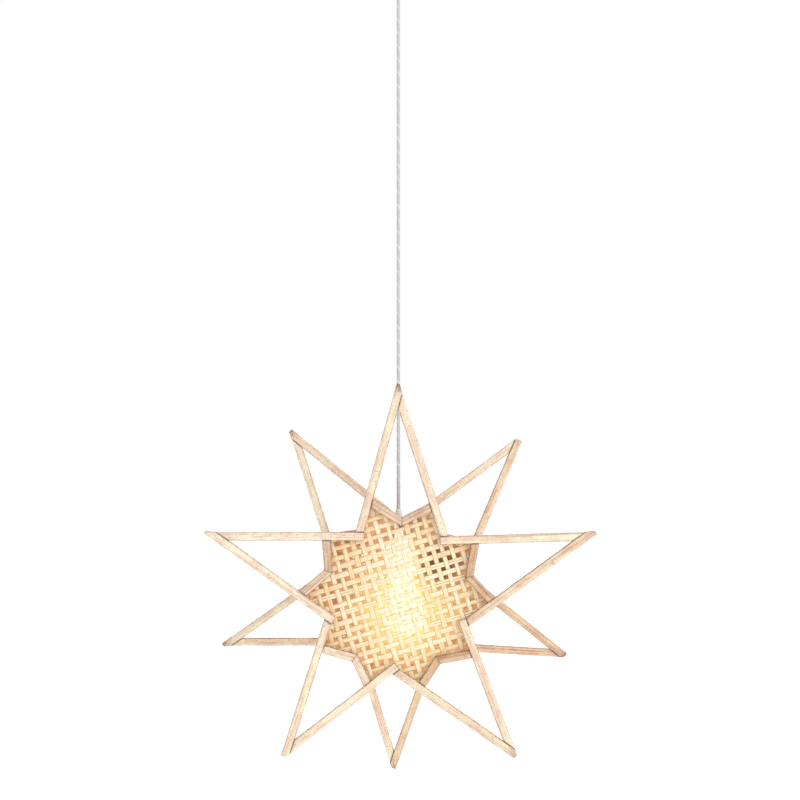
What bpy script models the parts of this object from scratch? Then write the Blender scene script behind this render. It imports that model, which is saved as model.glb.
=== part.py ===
# A hanging star lamp of split bamboo. Two five-pointed stars of flat rods, one in front and one behind and
# a tenth of a turn apart, carry a woven ten-pointed shade between them. The bulb hangs inside the shade on
# a bar across the top notch, and a textile cord runs up from there to a ceiling cup.
# Metres, +Z up, the face of the star towards -Y. The origin is the middle of the ceiling cup's flat top.

import math

import bpy
import bmesh
from mathutils import Matrix, Vector

# Clearance between pieces that touch, how near two points of a turned piece are one, and how near a plane
# a point lies on it
TOUCH = 0.0003
WELD = 0.00002
FLAT = 0.000001

# Edges sharper than this stay sharp on turned pieces, in degrees
SHARP_ANGLE = 35.0

# The star: where its middle hangs, how far its points reach and how far apart its two layers are
CENTRE_DROP = 0.960
STAR_DEPTH = 0.150
STAR_REACH = 0.276
JOINT_REACH = 0.102
STAR_POINTS = 5

# Bamboo rods
ROD_WIDTH = 0.0125
ROD_DEPTH = 0.010
ROD_EDGE = 0.0022
JOINT_OVERRUN = 0.008
TIP_WIDTH = 0.0055

# The shade: the rods of its rim meet in notches, and each ends at a star rod, this far from the inner joint
NOTCH_REACH = 0.1055
CORNER_RUN = 0.047

# Woven skins of the shade
PANEL_THICK = 0.002
BAND_THICK = 0.002
BAND_INSET = 0.0025
WEAVE_ANGLE = 16.5
WEAVE_MARGIN = 0.0085
FRONT_PITCH = (0.0134, 0.0128)
FRONT_FIRST = (0.0051, 0.0068)
FRONT_OPENING = 0.0058
REAR_PITCH = (0.0180, 0.0180)
REAR_FIRST = (0.0, 0.0)
REAR_OPENING = 0.0065

# Bar across the top notch, cord grip on it and lampholder under it
BAR_WIDTH = 0.010
BAR_HEIGHT = 0.010
BAR_DROP = 0.0015
GRIP_RADIUS = 0.006
GRIP_HEIGHT = 0.020
GRIP_SHOULDER = 0.008
GRIP_WALL = 0.0012
HOLDER_TILT = 5.0
HOLDER_RADIUS = 0.022
HOLDER_LENGTH = 0.070
HOLDER_NECK_RADIUS = 0.0065
HOLDER_NECK_LENGTH = 0.010
HOLDER_CAP_LENGTH = 0.020
HOLDER_CAP_STEP = 0.002
HOLDER_DOME_SWEEP = 65.0
HOLDER_WALL = 0.003
SOCKET_DEPTH = 0.023

# Bulb
BULB_RADIUS = 0.030
BULB_LENGTH = 0.108
BULB_GLOBE_END = 30.0
BULB_BASE_RADIUS = 0.0135
BULB_BASE_LENGTH = 0.024
BULB_COLLAR = 0.001
BULB_CONTACT_RADIUS = 0.0054
BULB_CONTACT_HEIGHT = 0.004

# Cord and ceiling cup
CORD_DIAMETER = 0.0055
CORD_POINTS = 24
CUP_RADIUS = 0.040
CUP_HEIGHT = 0.034
CUP_EDGE = 0.006
GLAND_RADIUS = 0.007
GLAND_TIP_RADIUS = 0.005
GLAND_HEIGHT = 0.012

# Each point of the hand-made stars, clockwise from the first: how much further it reaches, how far it is
# turned, how far its through rod runs past the crossing, and which of its rods that is. A rod is named for
# the side that it leaves its point on, clockwise or anticlockwise.
FRONT_TIPS = (
    (0.0110, 0.2, 0.0150, "anti"),
    (0.0025, -0.2, 0.0145, "clock"),
    (-0.0095, 0.3, 0.0085, "clock"),
    (-0.0105, -0.2, 0.0080, "clock"),
    (-0.0035, -0.2, 0.0165, "anti"),
)
REAR_TIPS = (
    (0.0210, -3.2, 0.0035, "clock"),
    (-0.0045, -3.4, 0.0070, "anti"),
    (-0.0095, -1.5, 0.0080, "anti"),
    (-0.0030, -0.7, 0.0125, "clock"),
    (0.0125, -1.7, 0.0115, "clock"),
)

# Each inner joint, clockwise from the one after the first point: how much further out it is, its turn, and
# its through rod
FRONT_JOINTS = (
    (0.0015, -3.9, "anti"),
    (-0.0020, -5.1, "anti"),
    (-0.0005, -5.0, "anti"),
    (0.0005, -1.8, "anti"),
    (0.0005, -2.3, "clock"),
)
REAR_JOINTS = (
    (-0.0005, -4.6, "anti"),
    (0.0025, -2.7, "anti"),
    (0.0015, -2.3, "anti"),
    (0.0, -1.5, "anti"),
    (-0.0025, -5.4, "clock"),
)

# Each notch of the shade's rim: how much further out it is, its turn, and how much further than the rest
# its anticlockwise and its clockwise rod end from the inner joint
FRONT_RIM = (
    (0.0005, -2.5, 0.0045, 0.0050),
    (-0.0015, -2.4, -0.0045, 0.0050),
    (-0.0015, -3.9, -0.0045, -0.0005),
    (0.0, 0.0, -0.0055, -0.0020),
    (0.0005, -1.8, 0.0040, -0.0010),
)
REAR_RIM = (
    (0.0, -2.0, 0.0020, 0.0020),
    (0.0, -2.0, 0.0020, 0.0020),
    (0.0, -2.0, 0.0020, 0.0020),
    (0.0, -2.0, 0.0020, 0.0020),
    (0.0, -2.0, 0.0020, 0.0120),
)

STEP = 360.0 / STAR_POINTS
LAYER_Y = STAR_DEPTH / 2
INNER_Y = LAYER_Y - ROD_DEPTH / 2 - TOUCH


def polar(reach, degrees):
    """A place in the star's plane, as (x, z) from its middle; 90 degrees is straight up."""
    angle = math.radians(degrees)
    return Vector((reach * math.cos(angle), reach * math.sin(angle)))


def crossing(line_a, line_b):
    """Where two lines of the plane meet, each given as (point, direction)."""
    (p, d), (q, e) = line_a, line_b
    across = d.x * e.y - d.y * e.x
    gap = q - p
    return p + d * ((gap.x * e.y - gap.y * e.x) / across)


def line(start, end):
    return start, (end - start).normalized()


def left_of(direction):
    return Vector((-direction.y, direction.x))


def beside(centre_line, towards, distance):
    """The line parallel to centre_line, moved by distance to the side where the point towards lies."""
    point, direction = centre_line
    side = left_of(direction)
    if side.dot(towards - point) < 0:
        side = -side
    return point + side * distance, direction


class Star:
    """Centre lines of one layer: five points, five inner joints, and the rim rods' notches and corners."""

    def __init__(self, first_angle, tips, joints, rim):
        self.tips, self.tip_overruns, self.tip_through = [], [], []
        self.joints, self.joint_through, self.notches = [], [], []
        for k in range(STAR_POINTS):
            angle = first_angle - STEP * k
            further, turn, overrun, through = tips[k]
            self.tips.append(polar(STAR_REACH + further, angle + turn))
            self.tip_overruns.append(overrun)
            self.tip_through.append(through)
            further, turn, through = joints[k]
            self.joints.append(polar(JOINT_REACH + further, angle - STEP / 2 + turn))
            self.joint_through.append(through)
            further, turn = rim[k][:2]
            self.notches.append(polar(NOTCH_REACH + further, angle + turn))
        self.corners = {}
        for k in range(STAR_POINTS):
            for side, further in zip(("anti", "clock"), rim[k][2:]):
                tip, direction = self.rod_line(k, side)
                joint = self.joints[self.joint_of(k, side)]
                self.corners[k, side] = joint - direction * (CORNER_RUN + further)

    def joint_of(self, k, side):
        """The number of the inner joint that rod (k, side) ends at."""
        return k if side == "clock" else (k - 1) % STAR_POINTS

    def rod_line(self, k, side):
        return line(self.tips[k], self.joints[self.joint_of(k, side)])

    def outline(self):
        """The shade's outline along the rods' centre lines, clockwise from the first notch."""
        points = []
        for k in range(STAR_POINTS):
            after = (k + 1) % STAR_POINTS
            points += [self.notches[k], self.corners[k, "clock"]]
            points += [self.joints[k], self.corners[after, "anti"]]
        return points

    def long_rod(self, k, side):
        """The outline of rod (k, side) in the plane: its ends run through, or stop at its neighbour."""
        other = "anti" if side == "clock" else "clock"
        centre = self.rod_line(k, side)
        tip, direction = centre
        joint_number = self.joint_of(k, side)
        joint = self.joints[joint_number]
        if self.tip_through[k] == side:
            start = (tip - direction * self.tip_overruns[k], left_of(direction))
        else:
            start = beside(self.rod_line(k, other), joint, ROD_WIDTH / 2 + TOUCH)
        if self.joint_through[joint_number] != side:
            neighbour = (joint_number + 1) % STAR_POINTS if side == "clock" else joint_number
            end = beside(self.rod_line(neighbour, other), tip, ROD_WIDTH / 2 + TOUCH)
        else:
            end = (joint + direction * JOINT_OVERRUN, left_of(direction))
        corners = rod_corners(centre, start, end)
        if self.tip_through[k] == side:
            corners = self.trimmed_tip(k, side, corners, start)
        return corners

    def trimmed_tip(self, k, side, corners, end_cut):
        """The through rod at point k, cut flush with its neighbour's outer side and down to a narrow end."""
        other = "anti" if side == "clock" else "clock"
        joint = self.joints[self.joint_of(k, side)]
        other_joint = self.joints[self.joint_of(k, other)]
        flush = beside(self.rod_line(k, other), joint, -ROD_WIDTH / 2)
        centre = self.rod_line(k, side)
        inner_side = beside(centre, other_joint, ROD_WIDTH / 2)
        narrowed = beside(centre, other_joint, TIP_WIDTH - ROD_WIDTH / 2)
        taper = line(crossing(flush, inner_side), crossing(narrowed, end_cut))
        return clipped(clipped(corners, flush, joint), taper, joint)

    def rim_rod(self, k, side):
        """A short rod from the mitre in notch k out to the inner side of star rod (k, side)."""
        notch = self.notches[k]
        centre = line(notch, self.corners[k, side])
        mitre = beside((notch, notch.normalized()), self.corners[k, side], TOUCH / 2)
        stop = beside(self.rod_line(k, side), notch, ROD_WIDTH / 2 + TOUCH)
        return rod_corners(centre, mitre, stop)


def rod_corners(centre, start, end):
    """A rod's outline: its two sides, cut by the lines start and end."""
    point, direction = centre
    offset = left_of(direction) * (ROD_WIDTH / 2)
    left = (point + offset, direction)
    right = (point - offset, direction)
    return [crossing(left, start), crossing(left, end), crossing(right, end), crossing(right, start)]


def clipped(corners, cut, keep):
    """The part of a convex outline on the side of the line cut where the point keep lies."""
    point, direction = cut
    side = left_of(direction)
    if side.dot(keep - point) < 0:
        side = -side
    kept = []
    for a, b in zip(corners, corners[1:] + corners[:1]):
        if side.dot(a - point) >= 0:
            kept.append(a)
        if (side.dot(a - point) >= 0) != (side.dot(b - point) >= 0):
            kept.append(crossing(cut, line(a, b)))
    return [p for i, p in enumerate(kept) if (p - kept[i - 1]).length > TOUCH]


def inset(points, distance):
    """The outline moved inwards; it runs clockwise, so inwards is to its right."""
    moved = []
    count = len(points)
    for i in range(count):
        before = line(points[i - 1], points[i])
        after = line(points[i], points[(i + 1) % count])
        shifted_before = (before[0] - left_of(before[1]) * distance, before[1])
        shifted_after = (after[0] - left_of(after[1]) * distance, after[1])
        moved.append(crossing(shifted_before, shifted_after))
    return moved


def material(name, colour, roughness, metallic=0.0):
    made = bpy.data.materials.new(name)
    made.use_nodes = True
    shader = made.node_tree.nodes["Principled BSDF"]
    shader.inputs["Base Color"].default_value = (*colour, 1.0)
    shader.inputs["Roughness"].default_value = roughness
    shader.inputs["Metallic"].default_value = metallic
    return made


def place(bm, name, finish, smooth=False):
    """Makes the object, with its faces turned outwards, from a mesh about the star's middle."""
    bmesh.ops.recalc_face_normals(bm, faces=bm.faces)
    mesh = bpy.data.meshes.new(name)
    bm.to_mesh(mesh)
    bm.free()
    mesh.materials.append(finish)
    if smooth:
        mesh.shade_smooth()
        mesh.set_sharp_from_angle(angle=math.radians(SHARP_ANGLE))
    made = bpy.data.objects.new(name, mesh)
    bpy.context.collection.objects.link(made)
    made.parent = star_middle
    return made


def at_depth(point, y):
    return Vector((point.x, y, point.y))


def slab(bm, points, y_low, y_high):
    """A flat piece of the plane's outline, from y_low to y_high."""
    front = [bm.verts.new(at_depth(p, y_low)) for p in points]
    rear = [bm.verts.new(at_depth(p, y_high)) for p in points]
    bm.faces.new(front)
    bm.faces.new(list(reversed(rear)))
    for i in range(len(points)):
        j = (i + 1) % len(points)
        bm.faces.new((front[j], front[i], rear[i], rear[j]))


def planed(bm, point, normal):
    """Cuts off what lies beyond a plane, and closes the cut."""
    everything = bm.verts[:] + bm.edges[:] + bm.faces[:]
    cut = bmesh.ops.bisect_plane(
        bm, geom=everything, dist=FLAT, plane_co=point, plane_no=normal, clear_outer=True
    )["geom_cut"]
    bmesh.ops.edgenet_fill(bm, edges=[e for e in cut if isinstance(e, bmesh.types.BMEdge)])


def rod(name, corners, y_low, y_high):
    """A split rod: its front and rear edges are planed off, its upright corners are as they were cut."""
    bm = bmesh.new()
    slab(bm, corners, y_low, y_high)
    middle = sum(corners, Vector((0.0, 0.0))) / len(corners)
    for a, b in zip(corners, corners[1:] + corners[:1]):
        outward = left_of((b - a).normalized())
        if outward.dot(middle - a) > 0:
            outward = -outward
        for y, facing in ((y_low, -1.0), (y_high, 1.0)):
            planed(bm, at_depth(a - outward * ROD_EDGE, y), Vector((outward.x, facing, outward.y)).normalized())
    place(bm, name, bamboo)


def star_rods(star, layer, y_middle):
    y_low, y_high = y_middle - ROD_DEPTH / 2, y_middle + ROD_DEPTH / 2
    for k in range(STAR_POINTS):
        for side in ("anti", "clock"):
            rod(f"{layer}_star_rod_{k + 1}_{side}", star.long_rod(k, side), y_low, y_high)
            rod(f"{layer}_rim_rod_{k + 1}_{side}", star.rim_rod(k, side), y_low, y_high)


def inside(point, outline):
    """Whether a point of the plane lies inside the outline."""
    odd = False
    for a, b in zip(outline, outline[1:] + outline[:1]):
        if (a.y > point.y) != (b.y > point.y):
            if point.x < a.x + (b.x - a.x) * (point.y - a.y) / (b.y - a.y):
                odd = not odd
    return odd


def weave_openings(outline, pitch, first, opening):
    """The square openings between the woven strips, wherever one fits clear of the rim."""
    along = polar(1.0, WEAVE_ANGLE)
    across = left_of(along)
    clear = inset(outline, WEAVE_MARGIN)
    reach = math.ceil(max(p.length for p in outline) / min(pitch))
    half = opening / 2
    squares = []
    for i in range(-reach, reach + 1):
        for j in range(-reach, reach + 1):
            middle = along * (first[0] + i * pitch[0]) + across * (first[1] + j * pitch[1])
            square = []
            for u, v in ((-half, -half), (half, -half), (half, half), (-half, half)):
                square.append(middle + along * u + across * v)
            if all(inside(p, clear) for p in square):
                squares.append(square)
    return squares


def woven_panel(name, outline, openings, y_low, y_high):
    """A flat woven skin: the strips of both directions as one lattice."""
    bm = bmesh.new()
    for loop in [outline] + openings:
        corners = [bm.verts.new(at_depth(p, y_low)) for p in loop]
        for i in range(len(corners)):
            bm.edges.new((corners[i - 1], corners[i]))
    bmesh.ops.triangle_fill(bm, use_beauty=True, edges=bm.edges[:])
    raised = bmesh.ops.extrude_face_region(bm, geom=bm.faces[:])["geom"]
    raised = [v for v in raised if isinstance(v, bmesh.types.BMVert)]
    bmesh.ops.translate(bm, verts=raised, vec=(0.0, y_high - y_low, 0.0))
    place(bm, name, weave)


def woven_band(front_outline, rear_outline, y_reach):
    """The shade's side wall, folded at each corner and notch; it leaves the top notch open."""
    skins = []
    for depth in (BAND_INSET - BAND_THICK / 2, BAND_INSET + BAND_THICK / 2):
        for outline, y in ((front_outline, -y_reach), (rear_outline, y_reach)):
            skins.append([at_depth(p, y) for p in inset(outline, depth)[1:]])
    bm = bmesh.new()
    outer_front, outer_rear, inner_front, inner_rear = ([bm.verts.new(p) for p in skin] for skin in skins)
    for i in range(len(outer_front) - 1):
        j = i + 1
        # The two outlines differ, so each facet is a little twisted, and both skins fold on the same diagonal
        for near, far in ((outer_front, outer_rear), (inner_front, inner_rear)):
            bm.faces.new((near[i], near[j], far[j]))
            bm.faces.new((near[i], far[j], far[i]))
        for outer, inner in ((outer_front, inner_front), (outer_rear, inner_rear)):
            bm.faces.new((outer[i], outer[j], inner[j], inner[i]))
    for end in (0, -1):
        bm.faces.new([skin[end] for skin in (outer_front, outer_rear, inner_rear, inner_front)])
    place(bm, "woven_side_band", weave)


def turned(name, profile, finish, segments=24, pose=None):
    """A turned piece from (radius, z) points, from its lowest middle point round to its highest."""
    bm = bmesh.new()
    verts = [bm.verts.new((radius, 0.0, z)) for radius, z in profile]
    edges = [bm.edges.new(pair) for pair in zip(verts, verts[1:])]
    bmesh.ops.spin(
        bm, geom=verts + edges, cent=(0, 0, 0), axis=(0, 0, 1), angle=2 * math.pi, steps=segments
    )
    bmesh.ops.remove_doubles(bm, verts=bm.verts[:], dist=WELD)
    made = place(bm, name, finish, smooth=True)
    if pose is not None:
        made.matrix_local = pose
    return made


def arc(middle, radius, start, end, steps):
    """Points of a round stretch of a profile, in degrees from the outward direction."""
    points = []
    for i in range(steps + 1):
        angle = math.radians(start + (end - start) * i / steps)
        points.append((middle[0] + radius * math.cos(angle), middle[1] + radius * math.sin(angle)))
    return points


def hanger_bar(z_top):
    """The bar along the bottom of the open notch, from the front panel to the rear one."""
    half = BAR_WIDTH / 2
    corners = [
        Vector((-half, z_top)),
        Vector((half, z_top)),
        Vector((half, z_top - BAR_HEIGHT)),
        Vector((-half, z_top - BAR_HEIGHT)),
    ]
    y_reach = INNER_Y - PANEL_THICK - TOUCH
    rod("hanger_bar", corners, -y_reach, y_reach)


def cord_grip(z_low):
    """A short tapered grip on the bar, which the cord ends in."""
    z_high = z_low + GRIP_HEIGHT
    profile = [
        (0.0, z_low),
        (GRIP_RADIUS, z_low),
        (GRIP_RADIUS, z_low + GRIP_SHOULDER),
        (CORD_DIAMETER / 2 + GRIP_WALL, z_high),
        (0.0, z_high),
    ]
    turned("cord_grip", profile, white_plastic, segments=16)
    return z_high


def lampholder(pose):
    """A plastic lampholder: neck, domed cap and a skirt that is open below round the bulb's base."""
    cap_low = HOLDER_NECK_LENGTH + HOLDER_CAP_LENGTH
    socket_top = HOLDER_LENGTH - SOCKET_DEPTH
    bore = HOLDER_RADIUS - HOLDER_WALL
    profile = [(0.0, -socket_top), (bore, -socket_top), (bore, -HOLDER_LENGTH)]
    profile += [(HOLDER_RADIUS, -HOLDER_LENGTH), (HOLDER_RADIUS, -cap_low)]
    dome = arc((0.0, 0.0), 1.0, 0.0, HOLDER_DOME_SWEEP, steps=4)
    for across, up in dome[1:]:
        height = -cap_low + up * (HOLDER_CAP_LENGTH - HOLDER_CAP_STEP)
        profile.append((HOLDER_RADIUS * across, height))
    profile += [(HOLDER_NECK_RADIUS, -HOLDER_NECK_LENGTH), (HOLDER_NECK_RADIUS, 0.0), (0.0, 0.0)]
    turned("lampholder", profile, white_plastic, segments=24, pose=pose)


def bulb(pose):
    """A pear-shaped bulb; its base stands in the lampholder's skirt."""
    top = -(HOLDER_LENGTH - SOCKET_DEPTH) - TOUCH
    globe_z = top - BULB_LENGTH + BULB_RADIUS
    neck_z = top - BULB_BASE_LENGTH
    profile = arc((0.0, globe_z), BULB_RADIUS, -90.0, BULB_GLOBE_END, steps=8)
    low = profile[-1]
    neck = (BULB_BASE_RADIUS + BULB_COLLAR, neck_z)
    neck_steps = 5
    for i in range(1, neck_steps):
        share = i / neck_steps
        ease = share * share * (3 - 2 * share)
        profile.append((low[0] + (neck[0] - low[0]) * ease, low[1] + (neck[1] - low[1]) * share))
    profile += [neck, (BULB_BASE_RADIUS, neck_z + BULB_COLLAR)]
    profile += [(BULB_BASE_RADIUS, top - BULB_CONTACT_HEIGHT), (BULB_CONTACT_RADIUS, top), (0.0, top)]
    profile[0] = (0.0, profile[0][1])
    turned("bulb", profile, lit_glass, segments=20, pose=pose)


def ceiling_cup(z_top):
    """A plain ceiling cup with a small gland below it."""
    z_low = z_top - CUP_HEIGHT
    gland_low = z_low - GLAND_HEIGHT
    profile = [(0.0, gland_low), (GLAND_TIP_RADIUS, gland_low), (GLAND_RADIUS, z_low)]
    profile += arc((CUP_RADIUS - CUP_EDGE, z_low + CUP_EDGE), CUP_EDGE, -90.0, 0.0, steps=3)
    profile += [(CUP_RADIUS, z_top), (0.0, z_top)]
    turned("ceiling_cup", profile, white_plastic, segments=32)
    return gland_low


def textile_cord(z_low, z_high):
    """The cord, taut between the grip and the ceiling cup's gland."""
    curve = bpy.data.curves.new("textile_cord", "CURVE")
    curve.dimensions = "3D"
    curve.bevel_depth = CORD_DIAMETER / 2
    curve.bevel_resolution = 2
    curve.use_fill_caps = True
    spline = curve.splines.new("POLY")
    spline.points.add(CORD_POINTS - 1)
    for i, point in enumerate(spline.points):
        point.co = (0.0, 0.0, z_low + (z_high - z_low) * i / (CORD_POINTS - 1), 1.0)
    curve.materials.append(cord_textile)
    made = bpy.data.objects.new("textile_cord", curve)
    bpy.context.collection.objects.link(made)
    made.parent = star_middle


# Clear the file
for old in list(bpy.data.objects):
    bpy.data.objects.remove(old)

# The finishes
bamboo = material("split bamboo", (0.84, 0.64, 0.42), 0.6)
weave = material("woven bamboo strip", (0.90, 0.74, 0.50), 0.65)
white_plastic = material("white plastic", (0.90, 0.90, 0.88), 0.35)
lit_glass = material("lit bulb glass", (1.0, 0.93, 0.75), 0.2)
cord_textile = material("grey textile", (0.75, 0.76, 0.77), 0.8)

# Everything is placed about the star's middle
star_middle = bpy.data.objects.new("star middle", None)
bpy.context.collection.objects.link(star_middle)
star_middle.location = (0.0, 0.0, -CENTRE_DROP)

# The two stars and their rim rods
front = Star(90.0, FRONT_TIPS, FRONT_JOINTS, FRONT_RIM)
rear = Star(90.0 - STEP / 2, REAR_TIPS, REAR_JOINTS, REAR_RIM)
star_rods(front, "front", -LAYER_Y)
star_rods(rear, "rear", LAYER_Y)

# The woven shade between them; the rear outline starts with its joint under the top notch
front_outline = front.outline()
rear_outline = rear.outline()
rear_outline = rear_outline[-2:] + rear_outline[:-2]
panel_back = INNER_Y - PANEL_THICK
front_openings = weave_openings(front_outline, FRONT_PITCH, FRONT_FIRST, FRONT_OPENING)
rear_openings = weave_openings(rear_outline, REAR_PITCH, REAR_FIRST, REAR_OPENING)
woven_panel("woven_front_panel", front_outline, front_openings, -INNER_Y, -panel_back)
woven_panel("woven_rear_panel", rear_outline, rear_openings, panel_back, INNER_Y)
woven_band(front_outline, rear_outline, panel_back - TOUCH)

# The bar in the top notch with the grip above it and the lampholder and bulb below it
bar_top = NOTCH_REACH - BAR_DROP
hanger_bar(bar_top)
grip_top = cord_grip(bar_top + TOUCH)
tilt = Matrix.Rotation(math.radians(-HOLDER_TILT), 4, "Y")
under_bar = Matrix.Translation((0.0, 0.0, bar_top - BAR_HEIGHT - 2 * TOUCH)) @ tilt
lampholder(under_bar)
bulb(under_bar)

# The cord up to the ceiling cup
gland_low = ceiling_cup(CENTRE_DROP)
textile_cord(grip_top + TOUCH, gland_low - TOUCH)
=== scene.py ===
# The looks of a hanging star lamp of split bamboo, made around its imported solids.
# Metres, +Z up, the face of the star towards -Y, the origin in the middle of the ceiling cup's flat top.

import bisect
import math
import random

import bmesh
import bpy
from mathutils import Matrix, Vector, noise


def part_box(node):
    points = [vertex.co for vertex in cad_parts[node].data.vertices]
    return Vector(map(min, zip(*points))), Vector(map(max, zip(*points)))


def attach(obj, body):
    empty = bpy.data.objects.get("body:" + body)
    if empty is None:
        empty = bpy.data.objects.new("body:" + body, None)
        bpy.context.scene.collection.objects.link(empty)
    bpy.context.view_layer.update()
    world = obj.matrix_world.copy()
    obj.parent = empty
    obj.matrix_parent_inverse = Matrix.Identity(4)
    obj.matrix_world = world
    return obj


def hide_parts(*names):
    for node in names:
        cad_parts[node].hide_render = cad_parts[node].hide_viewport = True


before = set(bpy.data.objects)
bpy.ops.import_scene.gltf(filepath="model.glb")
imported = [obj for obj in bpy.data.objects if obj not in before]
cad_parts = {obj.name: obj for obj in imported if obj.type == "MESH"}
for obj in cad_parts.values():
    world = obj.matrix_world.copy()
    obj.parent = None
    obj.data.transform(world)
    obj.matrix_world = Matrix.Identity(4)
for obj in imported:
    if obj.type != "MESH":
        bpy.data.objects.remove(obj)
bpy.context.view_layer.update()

# Chance, the same every run: its seed, how large the seeds of single pieces get, the layer of the noise that
# they read, and how far the grain of a piece moves across for each unit of its seed
CHANCE = 11
SEED_REACH = 90.0
NOISE_LAYER = 0.37
GRAIN_SHIFT = 0.37

# The star: its points, its middle in the plane of its face, how far its side wall stands in from the middle
# lines of the rods, and the small gap between fittings that meet
STAR_POINTS = 5
STAR_MIDDLE = Vector((0.0, -0.960))
BAND_INSET = 0.0025
TOUCH = 0.0003

# Cosines that tell a bar's flat faces apart: the same face, the side faces, all faces that stand on the broad
# ones, the faces at an end, and a square cut
ONE_FACE = 0.9999
RIGHT_ANGLE = 0.1
EDGE_ON = 0.05
END_FACE = 0.3
SQUARE_CUT = 0.999

# The camera, in front of the star and a little above its middle
LENS = 45.315
SENSOR = 36.0
SHIFT_X = 0.00625
SHIFT_Y = 0.075
CAMERA_PLACE = (-0.0052, -1.505, -0.846)
CAMERA_PITCH = 3.183

# The floor, the studio's one light, and how the white surround changes in front of the star
FLOOR_HALF = 30.0
FLOOR_LEVEL = -1.9
KEY_PLACE = (1.6, -1.6, 0.1)
KEY_SIZE = 1.0
KEY_POWER = 18.0
RIGHT_GAIN = 0.24
FRONT_DIM = 0.08
FRONT_FADE = 0.25

# Bamboo rods: their section, their stations and their ends
FACE_COLUMNS = 6
SECTION_POWER = 4.5
ROD_STATION = 0.0028
END_STATIONS = (0.0, 0.0004, 0.0009, 0.0016, 0.0026, 0.0040)
FREE_END_ROUND = 0.0010
CUT_END_ROUND = 0.0003
JOINT_FILL = 0.0009

# How a rod's sides and faces wander, and how many waves a metre that has
SIDE_WANDER = 0.0004
SIDE_WAVES = 22.0
FINE_WAVES = 90.0
FACE_WANDER = 0.0003
FACE_WAVES = 30.0

# Grooves along a rod: how many and how deep, and in shares of its half width where and how broad they are
STAR_GROOVES = (1, 0.0001)
RIM_GROOVES = (3, 0.0003)
BAR_GROOVES = (2, 0.0002)
GROOVE_PLACES = (-0.7, 0.7)
GROOVE_BREADTHS = (0.05, 0.09)
GROOVE_WEIGHTS = (0.5, 1.0)
GROOVE_DRIFT = 0.06
GROOVE_WAVES = 25.0

# The knuckle that some rods have: how many, where along the rod, and its height, run and dark line
KNUCKLE_SHARE = 0.3
KNUCKLE_PLACES = (0.3, 0.7)
KNUCKLE_RISE = 0.0003
KNUCKLE_RUN = 0.004
KNUCKLE_LINE = 0.0008

# How far the brown of a free end and of a joint reaches, and how strong it is; how far a tip's stain reaches
FREE_END_STAIN = (0.0014, 0.5)
JOINT_STAIN = (0.0019, 1.0)
TIP_STAIN = 0.022
EDGE_POWER = 6

# How brown the rods of each point are, anticlockwise and clockwise, and how stained its tip is, from 0 to 1
ROD_TONES = {
    "front_star": ((0.20, 0.10), (0.15, 0.40), (0.20, 0.35), (0.05, 0.10), (0.00, 0.00)),
    "front_rim": ((0.60, 0.65), (1.00, 0.90), (0.85, 1.00), (0.10, 0.25), (0.60, 0.60)),
    "rear_star": ((0.10, 0.40), (0.70, 0.60), (0.55, 0.00), (0.05, 0.05), (0.00, 0.15)),
    "rear_rim": ((0.75, 0.65), (0.80, 0.70), (0.65, 0.85), (0.75, 0.70), (0.80, 0.65)),
}
TIP_STAINS = {"front": (1.0, 0.6, 0.7, 0.3, 0.2), "rear": (0.5, 1.0, 0.8, 0.9, 1.0)}
BAR_TONE = 0.5

# Woven strips: their section in shares of half the width and half the thickness, and how they lie
STRIP_SECTION = (
    (-1.0, 0.0), (-0.88, 1.0), (0.0, 1.15), (0.88, 1.0),
    (1.0, 0.0), (0.88, -1.0), (0.0, -1.15), (-0.88, -1.0),
)
STRIP_THICK = 0.0005
STRIP_RISE = 0.00045
STRIP_FLATNESS = 1.6
STRIP_END_RUN = 0.4
STRIP_STATION = 0.0021
STRIP_WIDTHS = (0.0058, 0.0080)
REAR_STRIP_WIDTHS = (0.0112, 0.0125)
BAND_STRIP_WIDTHS = (0.0104, 0.0118)
STRIP_DRIFT = 0.0006
DRIFT_WAVES = 18.0
STRIP_NARROWING = 0.05
WIDTH_WAVES = 30.0
STRIP_TURN = 0.7
STRIP_SHARP = 60.0
SPLIT_SHARE = 0.05
SPLIT_GAP = 0.0002
STEEPEST_CUT = 1.2
CUT_FADE = 0.012

# How the front and rear skins are woven: the lean of their rows, the pitches along and up, and where one
# row and one column run, from the star's middle
FRONT_WEAVE = (16.5, 0.0134, 0.0128, -0.0016, 0.0004)
REAR_WEAVE = (12.0, 0.0134, 0.0130, 0.0030, 0.0050)
BAND_PITCH = 0.0132

# The light on the skins: the colour and the reach of each glow round the bulb or the lampholder, and where
# the lampholder keeps the light from the rear skin, with how near that starts and is full
FRONT_BULB_GLOW = ((0.13, 0.145, 0.075), 0.125)
FRONT_HOLDER_GLOW = ((0.09, 0.10, 0.085), 0.080)
REAR_GLOWS = (((0.40, 0.50, 0.12), 0.100), ((0.28, 0.10, 0.00), 0.140), ((0.38, 0.29, 0.155), 0.215))
SIDE_GLOW = ((0.34, 0.25, 0.12), 0.260)
SHADED_MIDDLE = Vector((0.062, -0.921))
SHADE_START = 0.052
SHADE_FULL = 0.015
FAR_FROM_SKINS = (0.0, 0.0, 0.0)

# How strongly the bulb, the lampholder and the floor shine, and plain colours as the shader's linear values
BULB_LIGHT = 1.25
HOLDER_LIGHT = 0.75
FLOOR_LIGHT = 0.3
BLACK = (0.0, 0.0, 0.0)
WHITE = (1.0, 1.0, 1.0)
WARM_WHITE = (1.0, 0.91, 0.82)

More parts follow.
